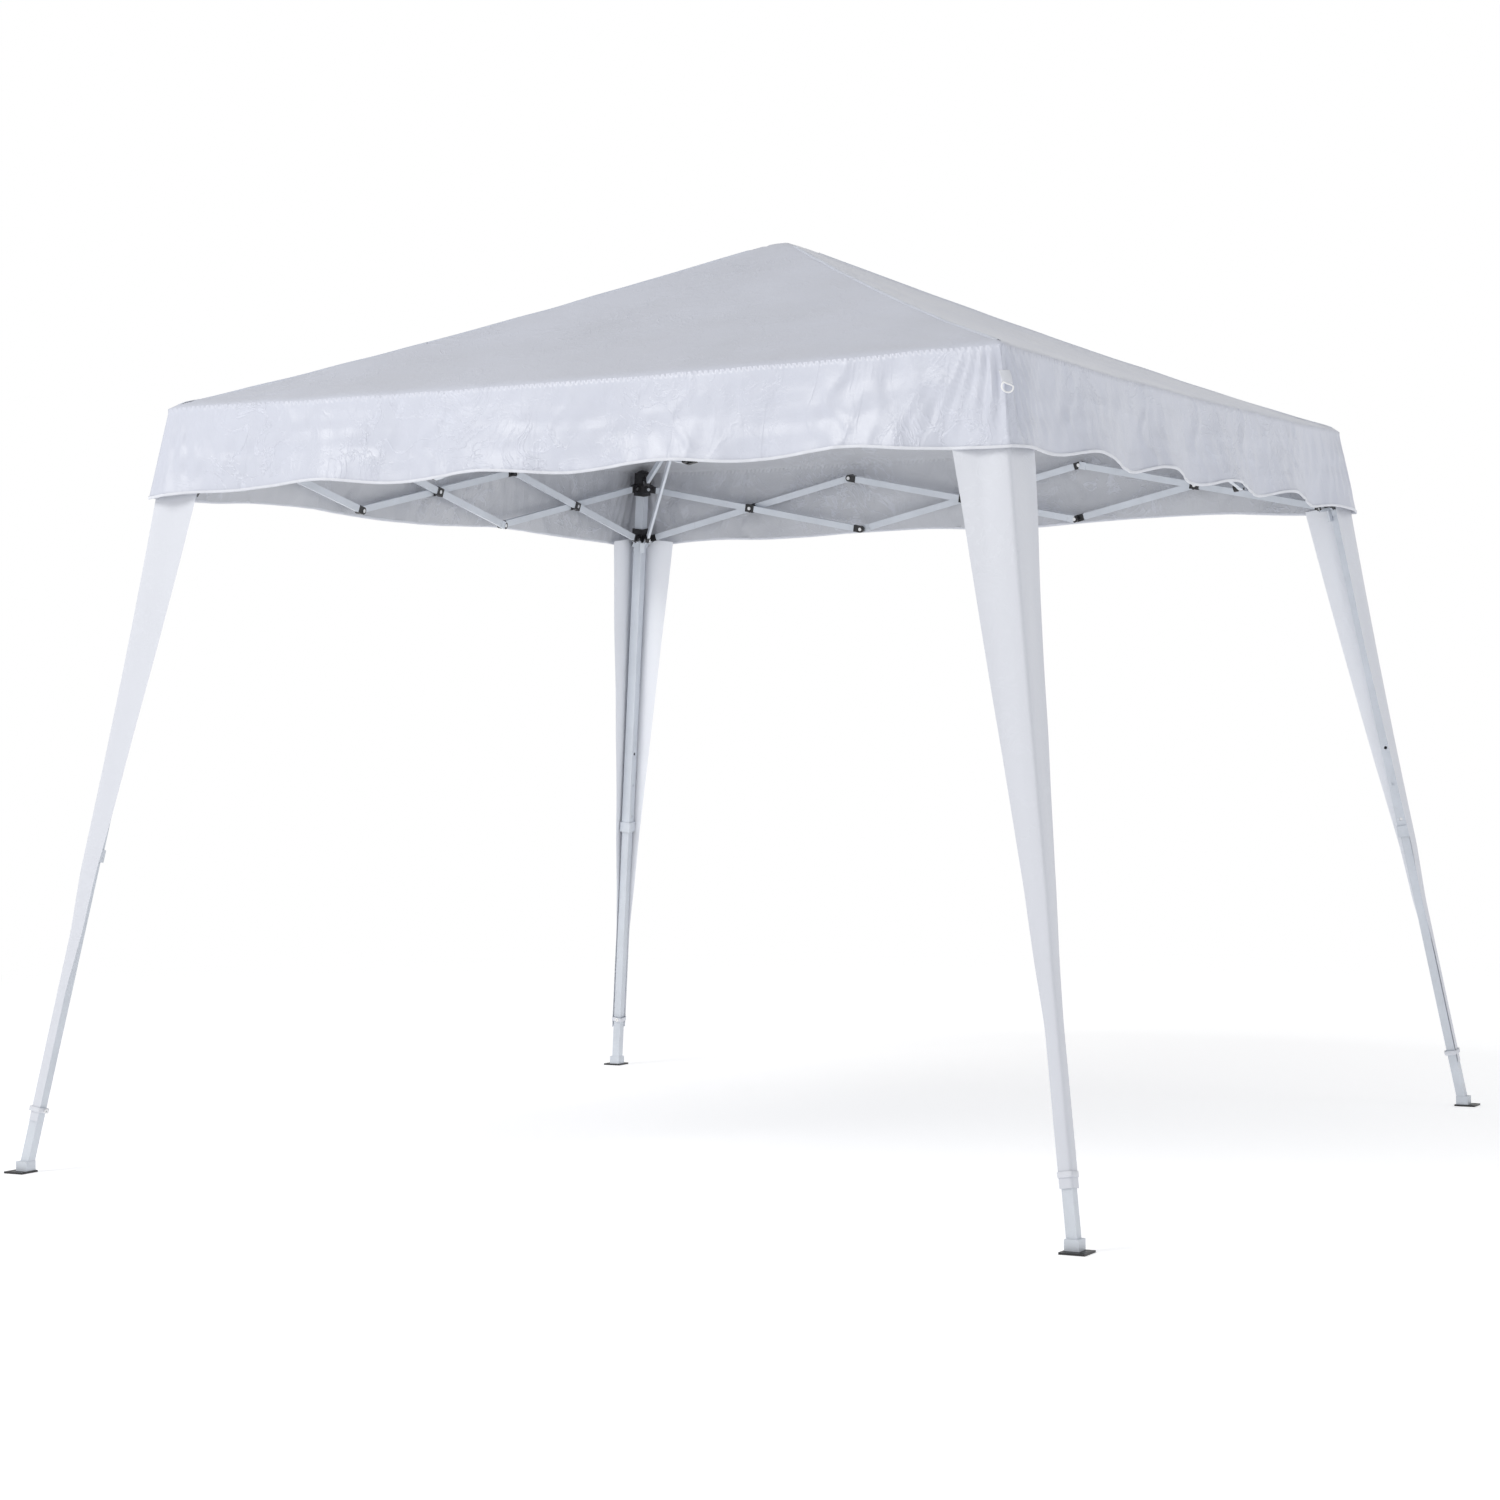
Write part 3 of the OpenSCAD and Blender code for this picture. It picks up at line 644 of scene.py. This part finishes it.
valanceFaces, hemEdges = {}, {}
for side in range(4):
    for half in range(-2 * n, 2 * n):
        left, right = columnAt(side, half), columnAt(side, half + 1)
        corner = (side + (0 if half < 0 else 1)) % 4
        for row in range(rows):
            face = (left[row], left[row + 1], right[row + 1], right[row])
            valanceFaces.setdefault((side, corner), []).append(face)
        edge = hemEdges.setdefault((side, corner), [left[-1]])
        edge.append(right[-1])
points = np.array(points)
print("stage: cover surface has", len(points), "points")


def vertexNormals(pts, faces):
    out = np.zeros_like(pts)
    for f in faces:
        p = pts[list(f)]
        # a quad takes its two diagonals, a triangle two of its edges
        nrm = np.cross(p[2] - p[0], p[3] - p[1]) if len(f) == 4 else np.cross(p[1] - p[0], p[2] - p[0])
        for q in f:
            out[q] += nrm
    length = np.linalg.norm(out, axis=1, keepdims=True)
    return out / np.maximum(length, 1e-12)


allFaces = [f for f, _, _ in roofFaces] + [f for fs in valanceFaces.values() for f in fs]
normals = vertexNormals(points, allFaces)


def meshPiece(name, pts, faces, materials, nrm=None, picked=None):
    used = sorted({q for f in faces for q in f})
    at = {q: i for i, q in enumerate(used)}
    mesh = bpy.data.meshes.new(name)
    mesh.from_pydata([tuple(map(float, pts[q])) for q in used], [], [[at[q] for q in f] for f in faces])
    for m in materials:
        mesh.materials.append(m)
    mesh.polygons.foreach_set("use_smooth", [True] * len(faces))
    if picked is not None:
        mesh.polygons.foreach_set("material_index", picked)
    mesh.update()
    if nrm is not None:
        mesh.normals_split_custom_set_from_vertices([tuple(map(float, nrm[q])) for q in used])
    obj = bpy.data.objects.new(name, mesh)
    bpy.context.scene.collection.objects.link(obj)
    return obj


def areaOf(obj):
    return sum(p.area for p in obj.data.polygons)


def sheetSize(obj, along, across):
    co = np.array([v.co for v in obj.data.vertices])
    spans = []
    for axis in (along, across):
        d = co @ (np.array(axis) / np.linalg.norm(axis))
        spans.append(float(d.max() - d.min()))
    area = areaOf(obj)
    grow = math.sqrt(max(1.0, area / (spans[0] * spans[1]) * 1.0005))
    return (spans[0] * grow, spans[1] * grow), area


roofParts = {}
for f, i, j in roofFaces:
    spots = [grid[q] for q in f]
    cx, cy = sum(s[0] for s in spots) / len(f), sum(s[1] for s in spots) / len(f)
    total = abs(cx) + abs(cy)
    k = cornerSigns.index((1 if cx > 0 else -1, 1 if cy > 0 else -1))
    if total < cover["crownCell"]:
        roofParts.setdefault(("crown", 0), []).append(f)
    elif total < cover["elbowCell"]:
        roofParts.setdefault(("inner", k), []).append(f)
    else:
        roofParts.setdefault(("corner", k), []).append(f)

for (kind, k), faces in sorted(roofParts.items()):
    sx, sy = cornerSigns[k]
    across, along = (sx, -sy, 0), (sx, sy, 0)
    if kind == "crown":
        piece = meshPiece("cover_crown", points, faces, [coverCloth], normals)
        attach(piece, "hub")
        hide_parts("canopy_roof")
    else:
        piece = meshPiece(f"cover_{kind}_{cornerNames[k]}", points, faces, [coverCloth], normals)
        rafter = "upper" if kind == "inner" else "lower"
        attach(piece, f"{rafter}_rafter_{cornerNames[k]}")
        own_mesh(piece)
    flat, area = sheetSize(piece, along, across)

# a flat-felled seam down each ridge, with two rows of stitches
seam = {
    "wide": 0.013,
    "up": 0.0012,
    "start": 0.06,
    "end": 0.985,
    "stitch": 0.0065,
    "gap": 0.0035,
    "row": 0.0045,
}


def ridgePoint(k, share, off):
    # a point on the roof beside ridge k, off is the distance across the ridge
    sx, sy = cornerSigns[k]
    step = off / (math.sqrt(2) * cover["half"])
    p = np.array(roofPoint(sx * (share + step), sy * (share - step)))
    return p


def ridgeStrip(k, start, end):
    pts, faces, cells = [], [], max(2, int((end - start) * 90))
    for i in range(cells + 1):
        share = start + (end - start) * i / cells
        for off, up in ((-1, 0.0002), (-0.92, 1), (0, 1.3), (0.92, 1), (1, 0.0002)):
            p = ridgePoint(k, share, off * seam["wide"] / 2)
            pts.append(p + np.array([0, 0, seam["up"] * up]))
    for i in range(cells):
        for c in range(4):
            a = i * 5 + c
            faces.append((a, a + 1, a + 6, a + 5))
    return pts, faces


def ridgeStitches(k, start, end):
    pts, faces = [], []
    long = math.sqrt(2) * cover["half"]
    at = start * long
    while at + seam["stitch"] < end * long:
        for side in (-1, 1):
            base = len(pts)
            for a, lift in ((at, 0.0), (at + seam["stitch"] / 2, 0.0007), (at + seam["stitch"], 0.0)):
                for c in (-0.0005, 0.0005):
                    p = ridgePoint(k, a / long, side * seam["row"] + c)
                    pts.append(p + np.array([0, 0, seam["up"] * 1.2 + 0.0002 + lift]))
            for q in (0, 2):
                faces.append((base + q, base + q + 1, base + q + 3, base + q + 2))
        at += seam["stitch"] + seam["gap"]
    return pts, faces


elbowShare = cover["elbowCell"] / (2 * cover["cells"])
for k, name in enumerate(cornerNames):
    sx, sy = cornerSigns[k]
    for part, start, end in (("inner", seam["start"], elbowShare), ("corner", elbowShare, seam["end"])):
        rafter = "upper" if part == "inner" else "lower"
        for kind, build, material in (("seam", ridgeStrip, seamTape), ("stitches", ridgeStitches, thread)):
            pts, faces = build(k, start, end)
            if sx * sy < 0:
                faces = [f[::-1] for f in faces]
            piece = meshPiece(f"{kind}_{part}_{name}", np.array(pts), faces, [material])
            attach(piece, f"{rafter}_rafter_{name}")
print("stage: ridge seams sewn")

# hem binding: a folded tape that wraps the lower edge of the valance
binding = {"tall": 0.0062, "out": 0.0011}


def bindingPiece(name, edge, nrm):
    pts, faces = [], []
    outer = [(1, binding["tall"]), (1.25, binding["tall"] * 0.45), (0.8, -0.0012)]
    profile = outer + [(-o, up) for o, up in outer[::-1]]
    for i, q in enumerate(edge):
        p, m = points[q], nrm[q] * np.array([1, 1, 0])
        m = m / max(np.linalg.norm(m), 1e-9)
        for o, up in profile:
            pts.append(p + m * o * binding["out"] + np.array([0, 0, up]))
    w = len(profile)
    for i in range(len(edge) - 1):
        for c in range(w - 1):
            a, b = i * w + c, (i + 1) * w + c
            faces.append((a, a + 1, b + 1, b))
    return meshPiece(name, np.array(pts), faces, [whiteTape])


first = True
for (side, k), faces in sorted(valanceFaces.items()):
    name = cornerNames[k]
    sideName = ("front", "right", "back", "left")[side]
    piece = meshPiece(f"valance_{sideName}_{name}", points, faces, [coverCloth], normals)
    tape = bindingPiece(f"hem_{sideName}_{name}", hemEdges[side, k], normals)
    sx, sy = cornerSigns[k]
    axis = (1, 0, 0) if side in (0, 2) else (0, 1, 0)
    for o in (piece, tape):
        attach(o, f"leg_{name}")
        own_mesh(o)
    if first:
        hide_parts("canopy_valance")
        first = False
    flat, area = sheetSize(piece, axis, (0, 0, 1))
print("stage: cover cut into", len(roofParts), "roof pieces and", len(valanceFaces), "valance pieces")

# leg skirts, an L of cloth down the outer side of each leg
skirt = {
    "face": 0.0227,
    "wing": 0.120,
    "narrow": 0.010,
    "top": 1.808,
    "end": 0.48,
    "hem": 0.135,
    "split": 0.86,
    "across": 14,
    "down": 70,
    "flare": 0.013,
    "round": 0.004,
    "roundDeep": 0.003,
    "slim": 0.0062,
}


def skirtPoint(k, c, z):
    # c from -1 (tip of one wing) to 1 (tip of the other), 0 at the corner
    turn, origin = legFrame(k)
    local = (z - size["trussZ"]) / math.cos(psi)
    share = max(0.0, (z - skirt["end"]) / (skirt["top"] - skirt["end"]))
    tip = skirt["narrow"] + (skirt["wing"] - skirt["narrow"]) * share ** 1.05
    long = tip + skirt["face"]
    s = abs(c) * long
    seed = k * 3.7 + (5.1 if c < 0 else 0.0)
    loose = min(1.0, max(0.0, (s - 0.03) / 0.05))
    bulge = loose * 0.0060 * wander(seed, s * 2.0, z * 0.9, 2.6)
    bulge += loose * 0.0013 * wander(seed, s * 3.0, z * 0.35, 12.0)
    bulge += 0.0005 * wander(seed, s, z * 0.5, 16.0) * min(1.0, s / 0.012)
    # a slight hollow between the leg's edge and the free edge, deeper where the wing is wide
    bulge -= loose * 0.0060 * share * math.sin(math.pi * min(1.0, s / max(long, 1e-6)))
    # the cloth stays inside the valance at the top
    bulge = min(bulge, 0.001 + 0.006 * min(1.0, (skirt["top"] - z) / 0.1))
    roll = skirt["roundDeep"] * math.exp(-s / skirt["round"])
    # slim at the foot, and drawn out to the valance at the top
    slim = skirt["slim"] * min(1.0, max(0.0, (0.79 - z) / 0.16))
    slim -= skirt["flare"] * max(0.0, (z - skirt["split"]) / (skirt["top"] - skirt["split"])) ** 2
    x, y = -skirt["face"] + slim + s + roll, -skirt["face"] + slim - bulge + roll
    p = np.array([x, y, local]) if c >= 0 else np.array([y, x, local])
    return origin + turn @ p


for k, name in enumerate(cornerNames):
    w, d = skirt["across"], skirt["down"]
    pts, faces = [], []
    heights = [skirt["top"] + (skirt["hem"] - skirt["top"]) * i / d for i in range(d + 1)]
    splitRow = min(range(d + 1), key=lambda i: abs(heights[i] - skirt["split"]))
    for z in heights:
        for c in range(-w, w + 1):
            share = abs(c / w) ** 1.25 * (1 if c >= 0 else -1)
            pts.append(skirtPoint(k, share, z))
    pts = np.array(pts)
    span2 = 2 * w + 1
    groups = {"a": [], "b": [], "low": []}
    for row in range(d):
        for c in range(2 * w):
            a = row * span2 + c
            face = (a, a + span2, a + span2 + 1, a + 1)
            group = "low" if row >= splitRow else ("b" if c < w else "a")
            groups[group].append(face)
    nrm = vertexNormals(pts, [f for g in groups.values() for f in g])
    sx, sy = cornerSigns[k]
    turn, origin = legFrame(k)
    for group, faces in groups.items():
        piece = meshPiece(f"skirt_{group}_{name}", pts, faces, [skirtCloth], nrm)
        sideAxis = turn @ np.array([1.0, 0, 0]) if group == "a" else turn @ np.array([0, 1.0, 0])
        up = turn @ np.array([0, 0, 1.0])
        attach(piece, f"leg_{name}")
        if group == "low":
            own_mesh(piece)
        else:
            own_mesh(piece)
        if group == "a":
            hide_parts(f"leg_skirt_{name}")
        flat, area = sheetSize(piece, up, sideAxis if group != "low" else (sx, sy, 0))
        least = area / flat[0]
        flat = (flat[0], max(flat[1], least * 1.001))
        if group == "low":
            flat = (flat[0], min(flat[1], least / 0.32) if flat[1] > least / 0.32 else flat[1])
print("stage: leg skirts hung")

# small cloth hardware
strap = {
    "wide": 0.027,
    "top": 1.966,
    "long": 0.034,
    "thick": 0.0016,
    "ring": 0.0125,
    "wire": 0.0021,
    "out": 0.006,
    "clear": 0.008,
    "flare": 0.016,
    "lean": 0.35,
    "footWide": 0.013,
    "snapZ": 0.165,
}


def ringMesh(wide, tall, wire, flatSide, around=28, section=10):
    pts, faces = [], []
    for i in range(around):
        a = 2 * math.pi * i / around
        x, z = wide * math.cos(a), tall * math.sin(a)
        if z > flatSide:
            z = flatSide
        out = np.array([math.cos(a), 0, math.sin(a)])
        for j in range(section):
            b = 2 * math.pi * j / section
            pts.append(np.array([x, 0, z]) + wire * (out * math.cos(b) + np.array([0, math.sin(b), 0])))
    for i in range(around):
        for j in range(section):
            a, b = i * section + j, ((i + 1) % around) * section + j
            c, d = ((i + 1) % around) * section + (j + 1) % section, i * section + (j + 1) % section
            faces.append((a, b, c, d))
    return np.array(pts), faces


def tapeLoop(name, path, wide, thick, side, material):
    # a flat tape along path, side is the direction across it
    path, side = np.array(path), np.array(side) / np.linalg.norm(side)
    pts, faces = [], []
    for i, p in enumerate(path):
        ahead = path[min(i + 1, len(path) - 1)] - path[max(i - 1, 0)]
        up = np.cross(ahead / np.linalg.norm(ahead), side)
        for c in (-1, -0.9, 0.9, 1):
            pts.append(p + side * wide / 2 * c + up * thick / 2 * (0.4 if abs(c) == 1 else 1))
        for c in (1, 0.9, -0.9, -1):
            pts.append(p + side * wide / 2 * c - up * thick / 2 * (0.4 if abs(c) == 1 else 1))
    for i in range(len(path) - 1):
        for c in range(8):
            a, b = i * 8 + c, i * 8 + (c + 1) % 8
            faces.append((a, b, b + 8, a + 8))
    faces += [tuple(range(7, -1, -1)), tuple((len(path) - 1) * 8 + c for c in range(8))]
    return meshPiece(name, np.array(pts), faces, [material])


# the tab and its ring hang from the corner that is tied down
def cornerTab(k, name):
    sx, sy = cornerSigns[k]
    out = np.array([sx, sy, 0]) / math.sqrt(2)
    side = np.array([-sy, sx, 0]) / math.sqrt(2)
    start = np.array([sx, sy, 0]) * (cover["half"] + strap["clear"])
    path = []
    for i in range(9):
        t = i / 8
        drop = np.array([0, 0, strap["top"] - strap["long"] * t])
        path.append(start + out * (strap["flare"] * t + strap["out"] * math.sin(math.pi * t * 0.75)) + drop)
    tab = tapeLoop(f"corner_tab_{name}", path, strap["wide"], strap["thick"], side, whiteTape)
    pts, faces = ringMesh(strap["ring"] * 1.15, strap["ring"], strap["wire"], strap["ring"] * 0.55)
    turned = pts @ turnY(strap["lean"]).T
    placed = turned[:, :1] * side + turned[:, 1:2] * out + turned[:, 2:] * np.array([0, 0, 1.0])
    centre = path[-1] + out * 0.001 - np.array([0, 0, strap["ring"] * 0.55])
    ring = meshPiece(f"corner_ring_{name}", placed + centre, faces, [whitePlastic])
    for piece in (tab, ring):
        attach(piece, f"leg_{name}")


cornerTab(1, cornerNames[1])
for k, name in enumerate(cornerNames):
    # a snap strap holds the skirt's foot to the leg
    turn, origin = legFrame(k)
    local = (strap["snapZ"] - size["trussZ"]) / math.cos(psi)
    half = skirt["face"] - 0.004
    loop = []
    for a in range(41):
        ang = 2 * math.pi * a / 40
        c, d = math.cos(ang), math.sin(ang)
        m = max(abs(c), abs(d)) ** 0.82
        loop.append(origin + turn @ np.array([half * c / m, half * d / m, local]))
    up = turn @ np.array([0, 0, 1.0])
    band = tapeLoop(f"foot_strap_{name}", loop, strap["footWide"], 0.0014, up, whiteTape)
    pts, faces = ringMesh(0.0045, 0.0045, 0.0028, 1.0, 20, 8)
    at = origin + turn @ np.array([half + 0.002, 0.004, local])
    knob = meshPiece(f"foot_snap_{name}", (pts[:, [1, 0, 2]]) @ turn.T + at, faces, [whitePlastic])
    for piece in (band, knob):
        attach(piece, f"inner_leg_{name}")
print("stage: straps and rings on")

# stage, light and camera
studio = {
    "sky": [(0.0, 1.0), (0.26, 1.0), (0.42, 0.42), (1.0, 0.56)],
    "side": [(0.35, 1.0), (0.85, 0.60)],
    "floor": (0.80, 0.80, 0.81),
    "glow": [(0.0, 0.42), (0.32, 0.5), (0.75, 1.0)],
    "reach": 10.0,
}
floorMat, nodes, links, p = newMaterial("floor", studio["floor"], 0.9)
away = nodes.new("ShaderNodeVectorMath")
away.operation = "LENGTH"
links.new(sockets(nodes).outputs["Object"], away.inputs[0])
scaled = nodes.new("ShaderNodeMath")
scaled.operation = "DIVIDE"
scaled.inputs[1].default_value = studio["reach"]
links.new(away.outputs["Value"], scaled.inputs[0])
glow = rampNode(nodes, links, scaled.outputs[0], studio["glow"])
p.inputs["Emission Color"].default_value = (1, 1, 1, 1)
links.new(glow, p.inputs["Emission Strength"])
far = rampNode(nodes, links, scaled.outputs[0], [(0.35, studio["floor"]), (0.75, (0.0, 0.0, 0.0))])
links.new(far, p.inputs["Base Color"])
p.inputs["Specular IOR Level"].default_value = 0.0
mesh = bpy.data.meshes.new("floor")
half, low = 60, -0.0005
mesh.from_pydata([(-half, -half, low), (half, -half, low), (half, half, low), (-half, half, low)], [], [(0, 1, 2, 3)])
mesh.materials.append(floorMat)
floor = bpy.data.objects.new("floor", mesh)
bpy.context.scene.collection.objects.link(floor)

# a pale ring of light low down and a darker sky above it
world = bpy.data.worlds.new("studio")
world.use_nodes = True
nodes, links = world.node_tree.nodes, world.node_tree.links
upward = nodes.new("ShaderNodeSeparateXYZ")
links.new(nodes.new("ShaderNodeTexCoord").outputs["Generated"], upward.inputs[0])
sky = rampNode(nodes, links, upward.outputs["Z"], studio["sky"])
side = rampNode(nodes, links, upward.outputs["X"], studio["side"])
links.new(mixColor(nodes, links, 1.0, sky, side, "MULTIPLY"), nodes["Background"].inputs["Color"])
nodes["Background"].inputs["Strength"].default_value = 1.0
bpy.context.scene.world = world


def areaLight(name, at, towards, wide, power, color=(1, 1, 1)):
    lamp = bpy.data.lights.new(name, "AREA")
    lamp.size, lamp.energy, lamp.color = wide, power, color
    obj = bpy.data.objects.new(name, lamp)
    obj.location = at
    obj.rotation_euler = (Vector(towards) - Vector(at)).to_track_quat("-Z", "Y").to_euler()
    bpy.context.scene.collection.objects.link(obj)


areaLight("key", (-3.0, -5.5, 6.5), (0, 0, 1.8), 3.0, 225, (1.0, 0.99, 0.97))
areaLight("fill", (7.0, 0.5, 5.5), (0, 0, 2.0), 3.0, 70, (0.94, 0.97, 1.0))

view = {"at": (4.146, -7.720, 1.110), "azimuth": -28.96, "tilt": -0.08, "roll": -0.56, "lens": 74.18}
cam = bpy.data.cameras.new("camera")
cam.lens, cam.sensor_width = view["lens"], 36
camera = bpy.data.objects.new("camera", cam)
pan = Matrix.Rotation(math.radians(-view["azimuth"]), 4, "Z")
tilt = Matrix.Rotation(math.radians(90 + view["tilt"]), 4, "X")
roll = Matrix.Rotation(math.radians(view["roll"]), 4, "Z")
camera.matrix_world = Matrix.Translation(view["at"]) @ pan @ tilt @ roll
bpy.context.scene.collection.objects.link(camera)
bpy.context.scene.camera = camera
bpy.context.scene.view_settings.view_transform = "Standard"
